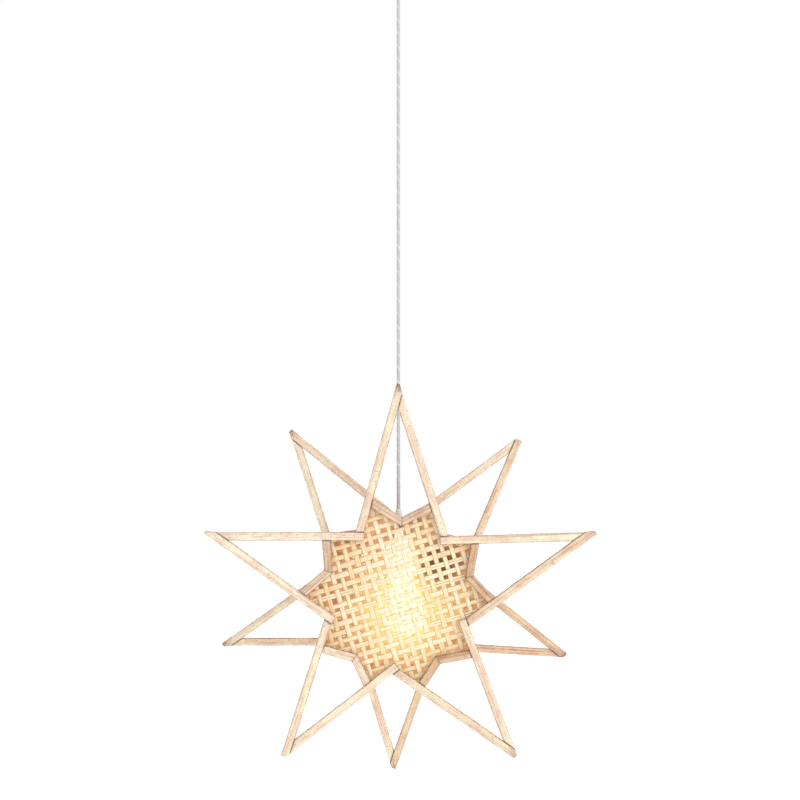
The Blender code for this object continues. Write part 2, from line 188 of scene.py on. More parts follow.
# Turned pieces: how round their edges are, the flattest corner that stays as it is, in degrees, how much of
# a side a round may take, how near the middle line a point counts as on it, and how many sides they have
PLASTIC_EDGE = 0.0006
GRIP_EDGE = 0.0004
FLAT_CORNER = 155.0
ROUND_SHARE = 0.45
ON_MIDDLE = 1e-6
HOLDER_SIDES = 64
BULB_SIDES = 64
BASE_SIDES = 48
GRIP_SIDES = 48
CUP_SIDES = 96

# Fittings on the hanger bar
HOLDER_TILT = 5.0
HOLDER_RADIUS = 0.022
HOLDER_LENGTH = 0.070
HOLDER_WALL = 0.003
HOLDER_NECK_RADIUS = 0.0065
HOLDER_NECK_LENGTH = 0.010
HOLDER_CAP_LENGTH = 0.020
HOLDER_CAP_STEP = 0.002
HOLDER_DOME_SWEEP = 65.0
HOLDER_SKIRT_GROOVES = (0.006, 0.010, 0.014)
HOLDER_CAP_GROOVE = 0.004
HOLDER_GROOVE_DEPTH = 0.0008
SOCKET_DEPTH = 0.023
BULB_RADIUS = 0.030
BULB_LENGTH = 0.108
BULB_BASE_RADIUS = 0.0135
BULB_BASE_LENGTH = 0.024
BULB_GLOBE_END = 30.0
BULB_COLLAR = 0.001
BULB_CONTACT_RADIUS = 0.0054
NECK_STEPS = 16
THREAD_TURNS = 6
THREAD_STEPS = 6
THREAD_DEPTH = 0.0004
THREAD_LOW = 0.002
THREAD_HIGH = 0.005
GRIP_SHOULDER = 0.4
GRIP_WALL = 0.0012
GRIP_GROOVES = 4
GRIP_GROOVE_DEPTH = 0.0005

# The ceiling cup: its soft lower edge with the flat beside it, its gland as (radius, height), and the groove
# round its upper edge as (depth, distance below the top)
CUP_EDGE = 0.006
CUP_FLAT = 0.014
GLAND_PROFILE = ((0.005, 0.0), (0.0058, 0.004), (0.0064, 0.0044), (0.007, 0.011), (0.0082, 0.012))
CUP_GROOVE = ((0.0, 0.004), (0.0006, 0.0036), (0.0006, 0.003), (0.0, 0.0026))

# Cord
CORD_DIAMETER = 0.0055
CORD_POINTS = 24
CORD_SIDES = 28
CORD_STATION = 0.0009
BRAID_RELIEF = 0.00012
BRAID_PITCH = 0.0062
BRAID_STRANDS = 4
FLECKS_PER_METRE = 48.5

# Where the colours of a node that blends go in and come out
BLEND_COLOURS = (6, 7)
BLEND_RESULT = 2


def linear(red, green, blue):
    """A colour given as it shows on a screen, 0 to 255, as the shader's linear values."""
    shares = [c / 255 for c in (red, green, blue)]
    return tuple(((c + 0.055) / 1.055) ** 2.4 if c > 0.04 else c / 12.92 for c in shares)


class Wire:
    """A socket in a node tree that takes part in plain arithmetic."""

    def __init__(self, nodes, socket):
        self.nodes = nodes
        self.socket = socket

    def worked(self, operation, first, second):
        return self.nodes.node("ShaderNodeMath", {"operation": operation}, {0: first, 1: second})

    def __add__(self, other):
        return self.worked("ADD", self, other)

    def __radd__(self, other):
        return self.worked("ADD", other, self)

    def __sub__(self, other):
        return self.worked("SUBTRACT", self, other)

    def __mul__(self, other):
        return self.worked("MULTIPLY", self, other)

    def __rmul__(self, other):
        return self.worked("MULTIPLY", other, self)


class Nodes:
    """A node tree while it is made: one method makes any node, and its sockets come back as wires."""

    def __init__(self, tree):
        self.tree = tree

    def node(self, kind, settings, inputs, output=0):
        made = self.tree.nodes.new(kind)
        for name, value in settings.items():
            setattr(made, name, value)
        for name, value in inputs.items():
            if isinstance(value, Wire):
                self.tree.links.new(value.socket, made.inputs[name])
            else:
                made.inputs[name].default_value = value
        return Wire(self, made.outputs[output])

    def attribute(self, name, output="Vector"):
        return self.node("ShaderNodeAttribute", {"attribute_name": name}, {}, output)

    def place(self):
        return self.node("ShaderNodeTexCoord", {}, {}, "Object")

    def part_of(self, vector, axis):
        return self.node("ShaderNodeSeparateXYZ", {}, {0: vector}, axis)

    def distance(self, vector, point):
        settings = {"operation": "DISTANCE"}
        return self.node("ShaderNodeVectorMath", settings, {0: vector, 1: point}, "Value")

    def mottle(self, vector, scale=1.0, detail=2.0, roughness=0.5):
        inputs = {"Vector": vector, "Scale": scale, "Detail": detail, "Roughness": roughness}
        return self.node("ShaderNodeTexNoise", {}, inputs)

    def marks(self, grain, along, across, deep, detail=2.0, roughness=0.5):
        """Mottling that is stretched along the grain: about so many marks a metre each way."""
        factors = {0: grain, 1: (along, across, deep)}
        stretched = self.node("ShaderNodeVectorMath", {"operation": "MULTIPLY"}, factors)
        return self.mottle(stretched, 1.0, detail, roughness)

    def rise(self, wire, low, high):
        """0 up to low, 1 from high on, and a smooth step between; low may be the larger."""
        settings = {"interpolation_type": "SMOOTHSTEP"}
        inputs = {"Value": wire, "From Min": min(low, high), "From Max": max(low, high)}
        inputs["To Min"] = 0.0 if low < high else 1.0
        inputs["To Max"] = 1.0 - inputs["To Min"]
        return self.node("ShaderNodeMapRange", settings, inputs)

    def blend(self, factor, first, second, kind="MIX"):
        settings = {"data_type": "RGBA", "blend_type": kind}
        inputs = {0: factor}
        for index, colour in zip(BLEND_COLOURS, (first, second)):
            inputs[index] = colour if isinstance(colour, Wire) else (*colour, 1.0)
        return self.node("ShaderNodeMix", settings, inputs, BLEND_RESULT)

    def layered(self, base, layers):
        """A colour with others laid over it, each as (where, colour, kind of blend)."""
        for where, colour, kind in layers:
            base = self.blend(where, base, colour, kind)
        return base


class Finish(Nodes):
    """A material while it is made."""

    def __init__(self, name, roughness, metallic=0.0):
        self.material = bpy.data.materials.new(name)
        self.material.use_nodes = True
        super().__init__(self.material.node_tree)
        self.shader = self.tree.nodes["Principled BSDF"]
        self.shader.inputs["Roughness"].default_value = roughness
        self.shader.inputs["Metallic"].default_value = metallic

    def feed(self, socket, wire):
        self.tree.links.new(wire.socket, self.shader.inputs[socket])

    def bumped(self, height, strength, distance):
        inputs = {"Height": height, "Strength": strength, "Distance": distance}
        self.feed("Normal", self.node("ShaderNodeBump", {}, inputs))

    def lit(self, colour, strength):
        """Light of its own, of one colour or of a colour that varies."""
        if isinstance(colour, Wire):
            self.feed("Emission Color", colour)
        else:
            self.shader.inputs["Emission Color"].default_value = (*colour, 1.0)
        self.shader.inputs["Emission Strength"].default_value = strength


class Surface:
    """Points and faces gathered for one piece, with what its finish reads at each point: the grain's place
    along and across the piece, the wear and painted shade (the edge, darkened as painted shade; the cut end;
    the groove, or the inner side or the braid's hollow, these two darkened as painted shade), the tone and
    the tip's stain."""

    def __init__(self):
        self.points = []
        self.faces = []
        self.grain = []
        self.wear_and_shade = []
        self.tone = []
        self.tip = []

    def add(self, point, grain, wear_and_shade=(0.0, 0.0, 0.0), tone=0.0, tip=0.0):
        self.points.append(point)
        self.grain.append(grain)
        self.wear_and_shade.append(wear_and_shade)
        self.tone.append(tone)
        self.tip.append(tip)
        return len(self.points) - 1

    def skin(self, rings):
        """Faces between rings of points that all have as many, and over both ends."""
        for ring, after in zip(rings, rings[1:]):
            for i in range(len(ring)):
                j = (i + 1) % len(ring)
                self.faces.append((ring[i], ring[j], after[j], after[i]))
        self.faces.append(tuple(rings[0]))
        self.faces.append(tuple(reversed(rings[-1])))

    def piece(self, name, finish, nodes=(), sharp=40.0):
        mesh = bpy.data.meshes.new(name)
        mesh.from_pydata(self.points, [], self.faces)
        work = bmesh.new()
        work.from_mesh(mesh)
        bmesh.ops.recalc_face_normals(work, faces=work.faces)
        work.to_mesh(mesh)
        work.free()
        for label, values in (("grain", self.grain), ("wear_and_shade", self.wear_and_shade)):
            stored = mesh.attributes.new(label, "FLOAT_VECTOR", "POINT")
            stored.data.foreach_set("vector", [c for value in values for c in value])
        for label, values in (("tone", self.tone), ("tip", self.tip)):
            mesh.attributes.new(label, "FLOAT", "POINT").data.foreach_set("value", values)
        mesh.shade_smooth()
        mesh.set_sharp_from_angle(angle=math.radians(sharp))
        mesh.materials.append(finish.material)
        made = bpy.data.objects.new(name, mesh)
        bpy.context.collection.objects.link(made)
        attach(made, "root")
        if nodes:
            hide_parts(*nodes)
        return made


def wander(along, seed, scale):
    """A smooth random value from about -1 to 1 along a piece. Each use adds a number of its own to the
    piece's seed, so that no two of them go together."""
    return noise.noise(Vector((along * scale, seed, NOISE_LAYER)))


def left_of(direction):
    """The direction a quarter turn anticlockwise in the plane."""
    return Vector((-direction.y, direction.x))


def crossing(line_a, line_b):
    """Where two lines of the star's plane meet, each given as (point, direction)."""
    (p, d), (q, e) = line_a, line_b
    across = d.x * e.y - d.y * e.x
    gap = q - p
    return p + d * ((gap.x * e.y - gap.y * e.x) / across)


def at_depth(point, y):
    """A point or direction of the star's plane as one in space."""
    return Vector((point.x, y, point.y))


def flat_faces(mesh):
    """The flat faces of a convex solid as [area, outward normal, a point on it], largest first."""
    found = []
    for face in mesh.polygons:
        for entry in found:
            if entry[1].dot(face.normal) > ONE_FACE:
                entry[0] += face.area
                break
        else:
            found.append([face.area, face.normal.copy(), face.center.copy()])
    return sorted(found, key=lambda entry: -entry[0])


class Bar:
    """The straight bar that a rod's solid is, read from its flat faces."""

    def __init__(self, node):
        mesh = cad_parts[node].data
        faces = flat_faces(mesh)
        self.deep = faces[0][1]
        self.side = next(f[1] for f in faces if abs(f[1].dot(self.deep)) < RIGHT_ANGLE)
        self.axis = self.deep.cross(self.side).normalized()
        self.half = {}
        self.middle = Vector((0.0, 0.0, 0.0))
        for label in ("deep", "side"):
            direction = getattr(self, label)
            reach = [direction.dot(v.co) for v in mesh.vertices]
            self.half[label] = (max(reach) - min(reach)) / 2
            self.middle += direction * ((max(reach) + min(reach)) / 2)
        self.cuts = []
        upright = [f for f in faces if abs(f[1].dot(self.deep)) < EDGE_ON]
        for sign in (-1.0, 1.0):
            ends = [f for f in upright if f[1].dot(self.axis) * sign > END_FACE]
            fills = [JOINT_FILL if abs(f[1].dot(self.axis)) < SQUARE_CUT else 0.0 for f in ends]
            self.cuts.append([(f[1], f[1].dot(f[2]) + fill) for f, fill in zip(ends, fills)])

    def reach(self, side, deep, end):
        """How far along the axis the cuts at one end let the bar run, beside the middle line."""
        base = self.middle + self.side * side + self.deep * deep
        places = [(offset - normal.dot(base)) / normal.dot(self.axis) for normal, offset in self.cuts[end]]
        return min(places) if end else max(places)

    def gap(self, point, end):
        """How deep inside the nearest cut of one end a point lies."""
        return min(offset - normal.dot(point) for normal, offset in self.cuts[end])

    def square(self, end):
        return any(abs(normal.dot(self.axis)) > SQUARE_CUT for normal, offset in self.cuts[end])

    def line(self):
        """The middle line in the star's plane."""
        return Vector((self.middle.x, self.middle.z)), Vector((self.axis.x, self.axis.z)).normalized()


def rod_section():
    """A rod's section as (side, deep) shares: two slightly crowned faces and soft edges."""
    shares = [math.sin(math.pi / 2 * i / FACE_COLUMNS) for i in range(-FACE_COLUMNS, FACE_COLUMNS + 1)]
    crown = [(s, (1 - abs(s) ** SECTION_POWER) ** (1 / SECTION_POWER)) for s in shares]
    return crown + [(s, -d) for s, d in reversed(crown[1:-1])]


def rod_stations(length):
    """Shares of a rod's length where its sections are: close together near both ends."""
    inner = length - 2 * END_STATIONS[-1]
    count = max(2, round(inner / ROD_STATION))
    middle = [END_STATIONS[-1] + inner * i / count for i in range(1, count)]
    places = list(END_STATIONS) + middle + [length - x for x in reversed(END_STATIONS)]
    return [x / length for x in places]


def rounded(distance, radius):
    """How much of a round of this radius is still missing at a distance from the end."""
    if distance >= radius:
        return 0.0
    left = 1 - max(distance, 0.0) / radius
    return radius * (1 - math.sqrt(1 - left * left))


def groove_at(grooves, s, along, seed):
    """How deep in a groove a place across a rod lies, from 0 to 1."""
    deepest = 0.0
    for middle, breadth, weight in grooves:
        off = s - middle - GROOVE_DRIFT * wander(along, seed + 11.0 + middle, GROOVE_WAVES)
        deepest = max(deepest, weight * math.exp(-((off / breadth) ** 2)))
    return deepest


def end_stain(bar, gaps):
    """How brown the cuts make a place that is so deep inside them, from 0 to 1."""
    stain = 0.0
    for end, gap in enumerate(gaps):
        reach, strength = FREE_END_STAIN if bar.square(end) else JOINT_STAIN
        stain = max(stain, strength * max(0.0, 1 - gap / reach))
    return stain


def bamboo_rod(node, finish, rng, tone, grooving, stained=0.0, knuckle=False):
    """A split bamboo rod in place of its solid: soft edges, grooves, a little wander and worn ends. Its tip,
    if it has one, is stained as strongly as stained says."""
    bar = Bar(node)
    seed = rng.uniform(0.0, SEED_REACH)
    width, depth = bar.half["side"], bar.half["deep"]
    count, groove_depth = grooving
    grooves = []
    for _ in range(count):
        grooves.append([rng.uniform(*limits) for limits in (GROOVE_PLACES, GROOVE_BREADTHS, GROOVE_WEIGHTS)])
    first, last = bar.reach(0.0, 0.0, 0), bar.reach(0.0, 0.0, 1)
    knuckle_at = first + (last - first) * rng.uniform(*KNUCKLE_PLACES)
    tips = [end for end in (0, 1) if len(bar.cuts[end]) > 1]
    rounds = [FREE_END_ROUND if bar.square(end) else CUT_END_ROUND for end in (0, 1)]
    surface = Surface()
    rings = []
    section = rod_section()
    for share in rod_stations(last - first):
        ring = []
        for s, d in section:
            start, end = (bar.reach(s * width, 0.0, k) for k in (0, 1))
            along = start + (end - start) * share
            place = bar.middle + bar.side * (s * width) + bar.axis * along
            gaps = [bar.gap(place, k) for k in (0, 1)]
            worn = max(rounded(gaps[k], rounds[k]) for k in (0, 1))
            wave = wander(along, seed + 3.0 * (s > 0), SIDE_WAVES)
            wave += 0.5 * wander(along, seed + 7.0, FINE_WAVES)
            groove = groove_at(grooves, s, along, seed)
            lowered = KNUCKLE_RISE
            ring_line = 0.0
            if knuckle:
                lowered *= 1 - math.exp(-(((along - knuckle_at) / KNUCKLE_RUN) ** 2))
                ring_line = math.exp(-(((along - knuckle_at) / KNUCKLE_LINE) ** 2))
            face = depth - worn - lowered - FACE_WANDER * abs(wander(along, seed + 17.0, FACE_WAVES))
            deep = d * (face - groove_depth * groove)
            side = s * (width - worn - SIDE_WANDER * abs(wave) - lowered)
            point = bar.middle + bar.side * side + bar.deep * deep + bar.axis * along
            tip = stained * max([0.0] + [1 - abs(along - (first, last)[k]) / TIP_STAIN for k in tips])
            grain = (along + seed, side + GRAIN_SHIFT * seed, deep)
            # The edge value marks the side edges that the finish darkens as painted shade; the next is the
            # brown of the cuts, the last the grooves and the knuckle's line.
            wear_and_shade = (abs(s) ** EDGE_POWER, end_stain(bar, gaps), max(groove, ring_line))
            ring.append(surface.add(point, grain, wear_and_shade, tone, tip))
        rings.append(ring)
    surface.skin(rings)
    surface.piece("bamboo_" + node, finish, [node])


def star_outline(layer):
    """The shade's outline along one layer's rods, clockwise from the first notch."""

    def line(kind, number, side):
        return Bar(f"{layer}_{kind}_rod_{number}_{side}").line()

    points = []
    for k in range(1, STAR_POINTS + 1):
        after = k % STAR_POINTS + 1
        lines = [line("rim", k, "anti"), line("rim", k, "clock"), line("star", k, "clock")]
        lines += [line("star", after, "anti"), line("rim", after, "anti")]
        points += [crossing(one, other) for one, other in zip(lines, lines[1:])]
    return points


def inset(points, distance):
    """The outline moved inwards; it runs clockwise, so inwards is to its right."""
    moved = []
    count = len(points)
    for i in range(count):
        here = points[i]
        before = (here - points[i - 1]).normalized()
        after = (points[(i + 1) % count] - here).normalized()
        sides = [(here - left_of(side) * distance, side) for side in (before, after)]
        moved.append(crossing(*sides))
    return moved


class Crossings:
    """Where a strip meets the strips that it is woven with, and how high it runs over or under them."""

    def __init__(self, places, first):
        self.places = places
        self.first = first

    def height(self, along):
        i = min(max(bisect.bisect(self.places, along) - 1, 0), len(self.places) - 2)
        low, high = self.places[i], self.places[i + 1]
        share = min(max((along - low) / (high - low), -STRIP_END_RUN), 1 + STRIP_END_RUN)
        wave = math.cos(math.pi * share) * (-1) ** (i + self.first)
        return STRIP_RISE * math.tanh(STRIP_FLATNESS * wave) / math.tanh(STRIP_FLATNESS)


def strands(width, rng):
    """A strip's parts as (place beside its middle, half width): mostly one, now and then two thin ones."""
    if rng.random() < SPLIT_SHARE:
        part = (width - SPLIT_GAP) / 2
        return [(-(part + SPLIT_GAP) / 2, part / 2), ((part + SPLIT_GAP) / 2, part / 2)]
    return [(0.0, width / 2)]


def ribbon(surface, stations, beside, half, seed, tone):
    """One flat strip through stations of (middle, across, outward normal, along)."""
    rings = []
    for middle, across, normal, along in stations:
        drift = 0.5 * STRIP_DRIFT * wander(along, seed, DRIFT_WAVES)
        narrow = 1.0 - STRIP_NARROWING * abs(wander(along, seed + 5.0, WIDTH_WAVES))
        ring = []
        for s, d in STRIP_SECTION:
            lateral = beside + drift + s * half * narrow
            point = middle + across * lateral + normal * (d * STRIP_THICK / 2)
            inner = 0.5 - 0.5 * max(-1.0, min(1.0, d))
            grain = (along + seed, lateral + GRAIN_SHIFT * seed, d)
            # The strip's edges and its inner side, marked here, are darkened in the finish as painted shade.
            ring.append(surface.add(point, grain, (abs(s), 0.0, inner), tone))
        rings.append(ring)
    surface.skin(rings)


def strip_places(reach, pitch, shift, rng):
    """Where the strips of one direction run: evenly, each a little off."""
    count = math.ceil(reach / pitch)
    return [shift + pitch * i + rng.uniform(-STRIP_DRIFT, STRIP_DRIFT) for i in range(-count, count + 1)]


def spans(outline, point, run):
    """The stretches of a line that lie inside the outline, with the slant of the outline at each end."""
    step = left_of(run)
    hits = []
    for a, b in zip(outline, outline[1:] + outline[:1]):
        side_a, side_b = (a - point).dot(step), (b - point).dot(step)
        if (side_a > 0) == (side_b > 0):
            continue
        share = side_a / (side_a - side_b)
        edge = b - a
        slant = edge.dot(run) / edge.dot(step)
        slant = min(max(slant, -STEEPEST_CUT), STEEPEST_CUT)
        hits.append(((a + edge * share - point).dot(run), slant))
    hits.sort()
    return list(zip(hits[::2], hits[1::2]))


def woven_panel(name, node, outline, weave, widths, finish, rng):
    """A flat skin of strips that pass over and under each other, cut off along the rods."""
    lean, pitch_along, pitch_up, shift_along, shift_up = weave
    low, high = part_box(node)
    y = (low.y + high.y) / 2
    outward = math.copysign(1.0, y)
    run = Vector((math.cos(math.radians(lean)), math.sin(math.radians(lean))))
    up = left_of(run)
    reach = max((p - STAR_MIDDLE).length for p in outline)
    rows = strip_places(reach, pitch_up, shift_up, rng)
    columns = strip_places(reach, pitch_along, shift_along, rng)
    surface = Surface()
    for own, crossed, direction, step, first in ((rows, columns, run, up, 0), (columns, rows, up, run, 1)):
        turn = 1.0 if left_of(direction).dot(step) > 0 else -1.0
        straight = direction
        for index, offset in enumerate(own):
            leaning = Matrix.Rotation(math.radians(rng.uniform(-STRIP_TURN, STRIP_TURN)), 2)
            direction = leaning @ straight
            crossings = Crossings(crossed, index + first)
            tone = rng.random()
            parts = strands(rng.uniform(*widths), rng)
            seed = rng.uniform(0.0, SEED_REACH)
            base = STAR_MIDDLE + step * offset
            for (start, slant_start), (end, slant_end) in spans(outline, base, direction):
                length = end - start
                if length < 2 * widths[0]:
                    continue
                count = max(4, round(length / STRIP_STATION))
                stations = []
                for i in range(count + 1):
                    along = start + length * i / count
                    shear = slant_start * max(0.0, 1 - (along - start) / CUT_FADE)
                    shear += slant_end * max(0.0, 1 - (end - along) / CUT_FADE)
                    middle = at_depth(base + direction * along, y + outward * crossings.height(along))
                    across = at_depth(step + direction * (shear * turn), 0.0)
                    stations.append((middle, across, Vector((0.0, outward, 0.0)), along))
                for k, (beside, half) in enumerate(parts):
                    ribbon(surface, stations, beside, half, seed + k, tone)
    surface.piece(name, finish, [node], STRIP_SHARP)


def band_strip(surface, stations, rng):
    """One strip of the side wall, as wide and as brown as chance has it."""
    width, tone, seed = rng.uniform(*BAND_STRIP_WIDTHS), rng.random(), rng.uniform(0.0, SEED_REACH)
    for k, (beside, half) in enumerate(strands(width, rng)):
        ribbon(surface, stations, beside, half, seed + k, tone)


def woven_band(name, node, front, rear, finish, rng):
    """The shade's side wall: strips folded round its corners and notches, woven with strips that run from
    front to rear."""
    low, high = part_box(node)
    y_reach = (high.y - low.y) / 2
    count = len(front)

    def wall(i, u, y):
        share = (y / y_reach + 1) / 2
        near = front[i].lerp(front[i + 1], u)
        return near.lerp(rear[i].lerp(rear[i + 1], u), share)

    def outward(i, y):
        return left_of((wall(i, 1.0, y) - wall(i, 0.0, y)).normalized())

    lengths = [(wall(i, 1.0, 0.0) - wall(i, 0.0, 0.0)).length for i in range(count - 1)]
    folds = [sum(lengths[:i]) for i in range(count)]
    posts = []
    for i in range(count - 1):
        number = round(lengths[i] / BAND_PITCH)
        posts += [(i, (k + 0.5) / number) for k in range(number)]
    post_places = [folds[i] + lengths[i] * u for i, u in posts]
    hoop_count = round(2 * y_reach / BAND_PITCH)
    hoops = [-y_reach + 2 * y_reach * (k + 0.5) / hoop_count for k in range(hoop_count)]
    surface = Surface()
    for index, (i, u) in enumerate(posts):
        crossings = Crossings(hoops, index)
        stations = []
        steps = round(2 * y_reach / STRIP_STATION)
        for k in range(steps + 1):
            y = -y_reach + 2 * y_reach * k / steps
            normal = outward(i, y)
            place = wall(i, u, y) + normal * crossings.height(y)
            across = -left_of(normal)
            stations.append((at_depth(place, y), at_depth(across, 0.0), at_depth(normal, 0.0), y))
        band_strip(surface, stations, rng)
    for index, y in enumerate(hoops):
        crossings = Crossings(post_places, index + 1)
        stations = []
        for i in range(count - 1):
            steps = max(3, round(lengths[i] / STRIP_STATION))
            for k in range(steps if i < count - 2 else steps + 1):
                u = k / steps
                normal = outward(i, y)
                if k == 0 and i > 0:
                    other = outward(i - 1, y)
                    normal = (normal + other) / (1 + normal.dot(other))
                along = folds[i] + lengths[i] * u
                place = wall(i, u, y) + normal * crossings.height(along)
                across = Vector((0.0, 1.0, 0.0))
                stations.append((at_depth(place, y), across, at_depth(normal, 0.0), along))
        band_strip(surface, stations, rng)
    surface.piece(name, finish, [node], STRIP_SHARP)


def arc(middle, radius, start, end, steps):
    """Points of a round stretch of a profile, in degrees from the outward direction."""
    points = []
    for i in range(steps + 1):
        angle = math.radians(start + (end - start) * i / steps)
        points.append((middle[0] + radius * math.cos(angle), middle[1] + radius * math.sin(angle)))
    return points


def turned(name, profile, segments, finish, nodes=(), pose=None, sharp=30.0):
    """A turned piece from (radius, z) points that begin and end on its middle line."""
    surface = Surface()
    pose = pose or Matrix.Identity(4)
    around = [2 * math.pi * k / segments for k in range(segments)]
    rings = []
    travelled = 0.0
    for index, (radius, z) in enumerate(profile):
        if index:
            travelled += math.dist(profile[index - 1], (radius, z))
        if radius < ON_MIDDLE:
            rings.append([surface.add(pose @ Vector((0.0, 0.0, z)), (travelled, 0.0, 0.0))])
            continue
        ring = []
        for angle in around:
            point = pose @ Vector((radius * math.cos(angle), radius * math.sin(angle), z))
            ring.append(surface.add(point, (travelled, angle, 0.0)))
        rings.append(ring)
    for ring, after in zip(rings, rings[1:]):
        for i in range(segments):
            j = (i + 1) % segments
            if len(ring) == 1:
                surface.faces.append((ring[0], after[j], after[i]))
            elif len(after) == 1:
                surface.faces.append((ring[i], ring[j], after[0]))
            else:
                surface.faces.append((ring[i], ring[j], after[j], after[i]))
    return surface.piece(name, finish, nodes, sharp=sharp)


def softened(profile, radius, steps=3):
    """The profile with each of its sharp corners turned into a small round."""
    soft = [profile[0]]
    for before, here, after in zip(profile, profile[1:], profile[2:]):
        arms = [Vector(before) - Vector(here), Vector(after) - Vector(here)]
        cut = min([radius] + [arm.length * ROUND_SHARE for arm in arms])
        if arms[0].angle(arms[1]) > math.radians(FLAT_CORNER):
            soft.append(here)
            continue
        start = Vector(here) + arms[0].normalized() * cut
        end = Vector(here) + arms[1].normalized() * cut
        for i in range(steps + 1):
            t = i / steps
            soft.append(tuple(start * (1 - t) ** 2 + Vector(here) * 2 * t * (1 - t) + end * t ** 2))
    return soft + [profile[-1]]


def lampholder(pose, finish):
    """A plastic lampholder: neck, domed cap, grooves round it and a skirt that is open below."""
    cap_low = HOLDER_NECK_LENGTH + HOLDER_CAP_LENGTH
    socket_top = HOLDER_LENGTH - SOCKET_DEPTH
    bore = HOLDER_RADIUS - HOLDER_WALL
    deep = HOLDER_GROOVE_DEPTH
    profile = [(0.0, -socket_top), (bore, -socket_top)]
    profile += [(bore, -HOLDER_LENGTH), (HOLDER_RADIUS, -HOLDER_LENGTH)]
    for z in [up - HOLDER_LENGTH for up in HOLDER_SKIRT_GROOVES] + [-cap_low - HOLDER_CAP_GROOVE]:
        profile += [(HOLDER_RADIUS, z - deep), (HOLDER_RADIUS - deep, z), (HOLDER_RADIUS, z + deep)]
    profile += [(HOLDER_RADIUS, -cap_low)]
    for across, up in arc((0.0, 0.0), 1.0, 0.0, HOLDER_DOME_SWEEP, steps=12)[1:]:
        profile.append((HOLDER_RADIUS * across, -cap_low + up * (HOLDER_CAP_LENGTH - HOLDER_CAP_STEP)))
    profile += [(HOLDER_NECK_RADIUS, -HOLDER_NECK_LENGTH), (HOLDER_NECK_RADIUS, 0.0), (0.0, 0.0)]
    soft = softened(profile, PLASTIC_EDGE)
    turned("lampholder_body", soft, HOLDER_SIDES, finish, ["lampholder"], pose)


def bulb(pose, glass_finish, base_finish):
    """A pear-shaped lit bulb, and its threaded base in the lampholder's skirt."""
    top = -(HOLDER_LENGTH - SOCKET_DEPTH) - TOUCH
    globe_z = top - BULB_LENGTH + BULB_RADIUS
    neck_z = top - BULB_BASE_LENGTH
    profile = arc((0.0, globe_z), BULB_RADIUS, -90.0, BULB_GLOBE_END, steps=30)
    low = profile[-1]
    neck = (BULB_BASE_RADIUS + BULB_COLLAR, neck_z)
    for i in range(1, NECK_STEPS):
        share = i / NECK_STEPS
        ease = share * share * (3 - 2 * share)
        profile.append((low[0] + (neck[0] - low[0]) * ease, low[1] + (neck[1] - low[1]) * share))
    profile += [neck, (0.0, neck_z)]
    profile[0] = (0.0, profile[0][1])
    turned("bulb_globe", profile, BULB_SIDES, glass_finish, ["bulb"], pose)
    thread = [(0.0, neck_z + TOUCH), (BULB_BASE_RADIUS, neck_z + TOUCH)]
    thread_low, thread_high = neck_z + THREAD_LOW, top - THREAD_HIGH
    steps = THREAD_TURNS * THREAD_STEPS
    for i in range(steps + 1):
        z = thread_low + (thread_high - thread_low) * i / steps
        wave = math.cos(2 * math.pi * i / THREAD_STEPS)
        thread.append((BULB_BASE_RADIUS - THREAD_DEPTH + THREAD_DEPTH * wave, z))
    thread += [(BULB_CONTACT_RADIUS, top), (0.0, top)]
    turned("bulb_base", thread, BASE_SIDES, base_finish, (), pose, sharp=50.0)


def cord_grip(finish):
    """The short grip on the bar that the cord comes out of, with grooves round its taper."""
    low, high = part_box("cord_grip")
    radius = (high.x - low.x) / 2
    tall = high.z - low.z
    shoulder = GRIP_SHOULDER * tall
    tip = CORD_DIAMETER / 2 + GRIP_WALL
    profile = [(0.0, low.z), (radius, low.z), (radius, low.z + shoulder)]
    for i in range(GRIP_GROOVES):
        for part, pull in ((0.25, 0.0), (0.5, GRIP_GROOVE_DEPTH), (0.75, 0.0)):
            share = (i + part) / GRIP_GROOVES
            up = shoulder + (tall - shoulder) * share
            profile.append((radius + (tip - radius) * share - pull, low.z + up))
    profile += [(tip, high.z), (0.0, high.z)]
    turned("cord_grip_body", softened(profile, GRIP_EDGE), GRIP_SIDES, finish, ["cord_grip"])


def ceiling_cup(finish):
    """The ceiling cup with its gland: a softened rim, a fine shadow groove and a collar."""
    low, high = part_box("ceiling_cup")
    radius = (high.x - low.x) / 2
    base = low.z + GLAND_PROFILE[-1][1]
    profile = [(0.0, low.z)] + [(across, low.z + up) for across, up in GLAND_PROFILE]
    profile += [(radius - CUP_EDGE - CUP_FLAT, base)]
    profile += arc((radius - CUP_EDGE, base + CUP_EDGE), CUP_EDGE, -90.0, 0.0, steps=12)
    profile += [(radius - deep, high.z - down) for deep, down in CUP_GROOVE]
    profile += [(radius, high.z), (0.0, high.z)]
    soft = softened(profile, PLASTIC_EDGE)
    return turned("ceiling_cup_body", soft, CUP_SIDES, finish, ["ceiling_cup"])


